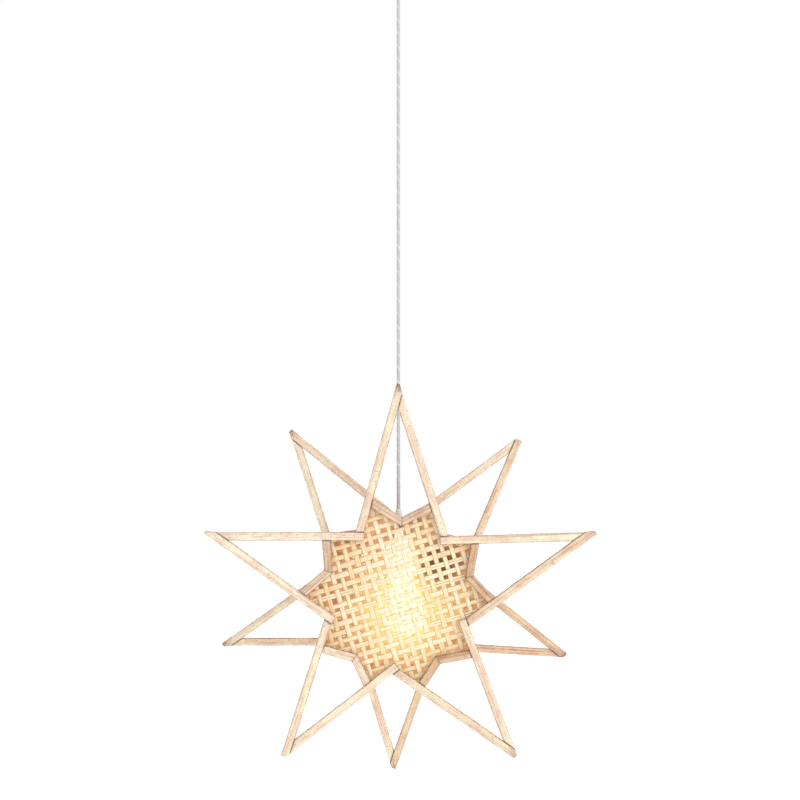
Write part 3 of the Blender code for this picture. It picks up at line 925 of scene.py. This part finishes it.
def textile_cord(finish):
    """The braided cord, taut from the grip up to the ceiling cup's gland."""
    low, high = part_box("textile_cord")
    bottom, top = low.z, high.z
    steps = round((top - bottom) / CORD_STATION)
    surface = Surface()
    rings = []
    for i in range(steps + 1):
        z = bottom + (top - bottom) * i / steps
        ring = []
        for k in range(CORD_SIDES):
            angle = 2 * math.pi * k / CORD_SIDES
            turn = BRAID_STRANDS * angle
            phase = 2 * math.pi * z / BRAID_PITCH
            weave = math.cos(phase + turn) * math.cos(phase - turn)
            radius = CORD_DIAMETER / 2 - BRAID_RELIEF * (0.5 - 0.5 * weave)
            point = Vector((radius * math.cos(angle), radius * math.sin(angle), z))
            grain = (z - bottom, angle / (2 * math.pi), 0.0)
            ring.append(surface.add(point, grain, (0.0, 0.0, 0.5 + 0.5 * weave)))
        rings.append(ring)
    surface.skin(rings)
    cord = surface.piece("braided_cord", finish, ["textile_cord"], sharp=80.0)
    route = [(0.0, 0.0, bottom + (top - bottom) * i / (CORD_POINTS - 1)) for i in range(CORD_POINTS)]
    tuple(route[0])


def rod_finish():
    """Split bamboo: fine fibres along the rod, brown flecks, painted shade on the edges, grooves and cuts,
    stained tips.
    """
    finish = Finish("split bamboo", 0.55)
    grain, wear_and_shade = finish.attribute("grain"), finish.attribute("wear_and_shade")
    tone, tip = finish.attribute("tone", "Fac"), finish.attribute("tip", "Fac")
    edge, cut, groove = (finish.part_of(wear_and_shade, axis) for axis in (0, 1, 2))
    fibres = finish.marks(grain, 14.0, 1500.0, 1500.0, 3.0, 0.6)
    streaks = finish.marks(grain, 9.0, 420.0, 420.0)
    patches = finish.marks(grain, 42.0, 110.0, 110.0)
    dashes = finish.marks(grain, 260.0, 240.0, 240.0, 2.0, 0.6)
    flecks = finish.marks(grain, 210.0, 1100.0, 1100.0, 1.0)
    dots = finish.marks(grain, 700.0, 900.0, 900.0, 1.0)
    patched = finish.rise(patches, 0.35, 0.65)
    pale = finish.blend(patched, linear(240, 232, 205), linear(232, 205, 182))
    tan = finish.blend(patched, linear(213, 178, 143), linear(192, 151, 117))
    # The side edges are darkened in dashes: painted shade of the faces that turn away from the front.
    edge_shade = finish.rise(edge, 0.15, 0.80) * finish.rise(dashes, 0.30, 0.60)
    base = finish.layered(finish.blend(tone, pale, tan), (
        (finish.rise(streaks, 0.50, 0.72) * 0.4, linear(206, 164, 124), "MULTIPLY"),
        (finish.rise(fibres, 0.55, 0.75) * 0.3, linear(196, 160, 126), "MULTIPLY"),
        (finish.rise(flecks + 0.06 * tip, 0.62, 0.70) * 0.7, linear(180, 130, 92), "MULTIPLY"),
        (finish.rise(tip + 0.5 * patches, 0.35, 1.0) * 0.75, linear(212, 176, 158), "MIX"),
        (finish.rise(dashes * tip, 0.30, 0.46) * 0.65, linear(146, 104, 78), "MIX"),
        (finish.rise(dots + 0.17 * tip, 0.66, 0.71) * 0.75, linear(118, 84, 66), "MIX"),
        (edge_shade * 0.9, linear(160, 118, 88), "MULTIPLY"),
        (groove * (0.25 + 0.5 * tone), linear(120, 86, 62), "MULTIPLY"),
        (cut, linear(94, 60, 40), "MIX"),
    ))
    finish.feed("Base Color", base)
    finish.feed("Roughness", 0.5 + 0.2 * fibres)
    finish.bumped(fibres + streaks * 0.6, 0.5, 0.0004)
    return finish


def weave_finish(name, inner_shade_colour, glows, shade_place=FAR_FROM_SKINS):
    """Thin bamboo strip: fine lines along it, edges darkened as painted shadow round the openings, and an
    inner
    side painted browner and spotted darker as shade inside the lamp. The bulb's light is painted on as glow:
    each glow is a colour and the reach and the middle of where it shows. The inner side is darkest at the
    shade place, which the lampholder keeps the light from."""
    finish = Finish(name, 0.5)
    grain, wear_and_shade = finish.attribute("grain"), finish.attribute("wear_and_shade")
    tone = finish.attribute("tone", "Fac")
    edge, inner = finish.part_of(wear_and_shade, 0), finish.part_of(wear_and_shade, 2)
    fibres = finish.marks(grain, 18.0, 1700.0, 1.0, 3.0, 0.6)
    streaks = finish.marks(grain, 30.0, 420.0, 1.0)
    patches = finish.marks(grain, 60.0, 60.0, 1.0)
    blotches = finish.marks(grain, 170.0, 260.0, 1.0)
    # The strips' edges are darkened in patches: painted shadow of the strips round the openings.
    rim = finish.rise(edge, 0.74, 0.98) * finish.rise(patches, 0.25, 0.60)
    place = finish.place()
    # The inner side's darker spots, and its darkest part at the shade place, are painted shade.
    spots = finish.rise(finish.mottle(place, 70.0, 1.0), 0.50, 0.62)
    shaded = finish.rise(finish.distance(place, shade_place), SHADE_START, SHADE_FULL)
    spotted, darkest = (tuple(c * share for c in inner_shade_colour) for share in (0.38, 0.12))
    inside = finish.layered(inner_shade_colour, ((spots * 0.85, spotted, "MIX"), (shaded * 0.8, darkest, "MIX")))
    base = finish.layered(finish.blend(tone, linear(246, 229, 198), linear(239, 210, 166)), (
        (finish.rise(blotches, 0.50, 0.66) * 0.35, linear(232, 186, 148), "MULTIPLY"),
        (finish.rise(streaks, 0.45, 0.75) * 0.45, linear(226, 184, 142), "MULTIPLY"),
        (finish.rise(fibres, 0.5, 0.75) * 0.3, linear(206, 166, 128), "MULTIPLY"),
        (rim * 0.9, linear(156, 106, 72), "MULTIPLY"),
        (inner, inside, "MIX"),
    ))
    finish.feed("Base Color", base)
    finish.bumped(fibres + streaks * 0.7, 0.4, 0.0003)
    light = BLACK
    for colour, reach, middle in glows:
        near = finish.rise(finish.distance(place, middle), reach, 0.0)
        glow = finish.blend(near * (0.8 + 0.4 * patches), BLACK, colour)
        light = finish.blend(1.0, light, glow, "ADD")
    dimmed = ((finish.rise(edge, 0.8, 1.0) * 0.5, BLACK, "MIX"), (shaded * inner * 0.85, BLACK, "MIX"))
    finish.lit(finish.layered(light, dimmed), 1.0)
    return finish


def plastic_finish(name, strength=0.0):
    """Satin white moulded plastic with a very fine texture; the one round the bulb catches its light."""
    finish = Finish(name, 0.35)
    fine, broad = finish.mottle(finish.place(), 900.0), finish.mottle(finish.place(), 60.0)
    base = finish.blend(finish.rise(broad, 0.3, 0.7), linear(228, 232, 234), linear(218, 223, 226))
    finish.feed("Base Color", base)
    finish.feed("Roughness", 0.3 + 0.15 * fine)
    finish.bumped(fine, 0.15, 0.0002)
    finish.lit(WARM_WHITE, strength)
    return finish


def bulb_finish():
    """Frosted glass lit from inside, a little dimmer near its base."""
    finish = Finish("lit frosted glass", 0.3)
    travelled = finish.part_of(finish.attribute("grain"), 0)
    fine = finish.mottle(finish.place(), 500.0, 1.0)
    finish.feed("Base Color", finish.blend(fine, linear(255, 246, 224), linear(248, 236, 210)))
    towards_base = finish.rise(travelled, 0.065, 0.12)
    finish.lit(finish.blend(towards_base, (1.0, 0.92, 0.56), (0.85, 0.72, 0.42)), BULB_LIGHT)
    return finish


def metal_finish():
    """Nickel-plated sheet for the bulb's threaded base."""
    finish = Finish("plated metal", 0.3, metallic=1.0)
    fine = finish.mottle(finish.place(), 300.0)
    finish.feed("Base Color", finish.blend(fine, linear(206, 204, 198), linear(176, 174, 168)))
    return finish


def cord_finish():
    """Braided textile: light grey yarns with paler flecks that wind round it, and painted shade in the
    braid's hollows.
    """
    finish = Finish("braided textile", 0.85)
    grain, wear_and_shade = finish.attribute("grain"), finish.attribute("wear_and_shade")
    along, around = finish.part_of(grain, 0), finish.part_of(grain, 1)
    raised = finish.part_of(wear_and_shade, 2)
    turn = (along * FLECKS_PER_METRE + around) * (2 * math.pi)
    winding = finish.node("ShaderNodeMath", {"operation": "COSINE"}, {0: turn})
    uneven = finish.marks(grain, 90.0, 3.0, 1.0, 1.0)
    flecks = finish.rise(winding + 0.5 * uneven, 1.08, 1.24)
    fine = finish.marks(grain, 2600.0, 40.0, 1.0)
    # Darker where the braid dips and lighter on its raised yarns: painted shade in the hollows.
    base = finish.layered(finish.blend(raised, linear(172, 173, 174), linear(204, 205, 206)), (
        (finish.rise(fine, 0.35, 0.7) * 0.4, linear(214, 216, 218), "MULTIPLY"),
        (flecks * 0.45, linear(232, 232, 232), "MIX"),
    ))
    finish.feed("Base Color", base)
    finish.bumped(raised + fine * 0.5, 0.6, 0.0003)
    return finish


def floor_finish():
    """A matt pale floor with a little light of its own."""
    finish = Finish("pale floor", 0.9)
    mottled = finish.mottle(finish.place(), 3.0)
    finish.feed("Base Color", finish.blend(mottled, linear(250, 250, 250), linear(247, 247, 247)))
    finish.lit(WHITE, FLOOR_LIGHT)
    return finish


def surround():
    """A white surround: plain behind the lamp, and in front of it brighter on the right than on the left."""
    world = bpy.data.worlds.new("white surround")
    world.use_nodes = True
    nodes = Nodes(world.node_tree)
    towards = nodes.node("ShaderNodeTexCoord", {}, {}, "Generated")
    rightness = nodes.part_of(towards, 0)
    in_front = nodes.rise(nodes.part_of(towards, 1), FRONT_FADE, -FRONT_FADE)
    brightness = 1.0 + in_front * (RIGHT_GAIN * rightness - FRONT_DIM)
    background = world.node_tree.nodes["Background"]
    background.inputs["Color"].default_value = (*WHITE, 1.0)
    world.node_tree.links.new(brightness.socket, background.inputs["Strength"])
    return world


def studio():
    """A plain pale floor below the lamp, a white surround and one soft light at the right."""
    scene = bpy.context.scene
    scene.view_settings.view_transform = "Standard"
    scene.world = surround()
    mesh = bpy.data.meshes.new("floor")
    corners = [(x * FLOOR_HALF, y * FLOOR_HALF, FLOOR_LEVEL) for x, y in ((-1, -1), (1, -1), (1, 1), (-1, 1))]
    mesh.from_pydata(corners, [], [(0, 1, 2, 3)])
    mesh.materials.append(floor_finish().material)
    floor = bpy.data.objects.new("floor", mesh)
    bpy.context.collection.objects.link(floor)
    data = bpy.data.lights.new("key", "AREA")
    data.size = KEY_SIZE
    data.energy = KEY_POWER
    light = bpy.data.objects.new("key", data)
    light.location = KEY_PLACE
    aim = at_depth(STAR_MIDDLE, 0.0) - Vector(KEY_PLACE)
    light.rotation_euler = aim.to_track_quat("-Z", "Y").to_euler()
    bpy.context.collection.objects.link(light)


def camera():
    """The camera that sees the star as the photograph does."""
    data = bpy.data.cameras.new("camera")
    data.sensor_width = SENSOR
    data.lens = LENS
    data.shift_x = SHIFT_X
    data.shift_y = SHIFT_Y
    made = bpy.data.objects.new("camera", data)
    made.location = CAMERA_PLACE
    made.rotation_euler = (math.radians(90.0 + CAMERA_PITCH), 0.0, 0.0)
    bpy.context.collection.objects.link(made)
    bpy.context.scene.camera = made


camera()
studio()
rng = random.Random(CHANCE)

# The cord and its fittings
plastic = plastic_finish("white plastic")
cup = ceiling_cup(plastic)
textile_cord(cord_finish())
cord_grip(plastic)
bar_low, bar_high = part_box("hanger_bar")
tilt = Matrix.Rotation(math.radians(-HOLDER_TILT), 4, "Y")
under_bar = Matrix.Translation((0.0, 0.0, bar_low.z - TOUCH)) @ tilt
lampholder(under_bar, plastic_finish("white plastic by the bulb", HOLDER_LIGHT))
bulb(under_bar, bulb_finish(), metal_finish())

# The rods: pale in front, more tan behind and brown round the rim
bamboo = rod_finish()
for layer in ("front", "rear"):
    for k in range(STAR_POINTS):
        for i, side in enumerate(("anti", "clock")):
            node = f"{layer}_star_rod_{k + 1}_{side}"
            tone = ROD_TONES[layer + "_star"][k][i]
            knuckle = rng.random() < KNUCKLE_SHARE
            bamboo_rod(node, bamboo, rng, tone, STAR_GROOVES, TIP_STAINS[layer][k], knuckle)
            node = f"{layer}_rim_rod_{k + 1}_{side}"
            tone = ROD_TONES[layer + "_rim"][k][i]
            bamboo_rod(node, bamboo, rng, tone, RIM_GROOVES)
bamboo_rod("hanger_bar", bamboo, rng, BAR_TONE, BAR_GROOVES)

# The woven skins
front_outline = star_outline("front")
rear_outline = star_outline("rear")
rear_outline = rear_outline[-2:] + rear_outline[:-2]
bulb_middle = under_bar @ Vector((0.0, 0.0, -(HOLDER_LENGTH - SOCKET_DEPTH) - BULB_LENGTH + BULB_RADIUS))
holder_middle = under_bar @ Vector((0.0, 0.0, -HOLDER_LENGTH / 2))
before_bulb = (bulb_middle.x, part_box("woven_front_panel")[0].y, bulb_middle.z)
before_holder = (holder_middle.x, before_bulb[1], holder_middle.z)
behind_bulb = (bulb_middle.x, -before_bulb[1], bulb_middle.z)
front_glows = ((*FRONT_BULB_GLOW, before_bulb), (*FRONT_HOLDER_GLOW, before_holder))
rear_glows = [(*glow, behind_bulb) for glow in REAR_GLOWS]
side_glows = ((*SIDE_GLOW, bulb_middle),)
shade_place = at_depth(SHADED_MIDDLE, bar_high.y)
# Each skin's first colour is its inner side, painted browner than the outer side as shade inside the lamp.
front_weave = weave_finish("front strips", linear(216, 168, 122), front_glows)
rear_weave = weave_finish("rear strips", linear(222, 174, 126), rear_glows, shade_place)
side_weave = weave_finish("side strips", linear(214, 170, 128), side_glows)
skins = (
    ("front", front_outline, FRONT_WEAVE, STRIP_WIDTHS, front_weave),
    ("rear", rear_outline, REAR_WEAVE, REAR_STRIP_WIDTHS, rear_weave),
)
for layer, *rest in skins:
    woven_panel(f"woven_strips_{layer}", f"woven_{layer}_panel", *rest, rng)
front_wall = inset(front_outline, BAND_INSET)[1:]
rear_wall = inset(rear_outline, BAND_INSET)[1:]
woven_band("woven_strips_side", "woven_side_band", front_wall, rear_wall, side_weave, rng)
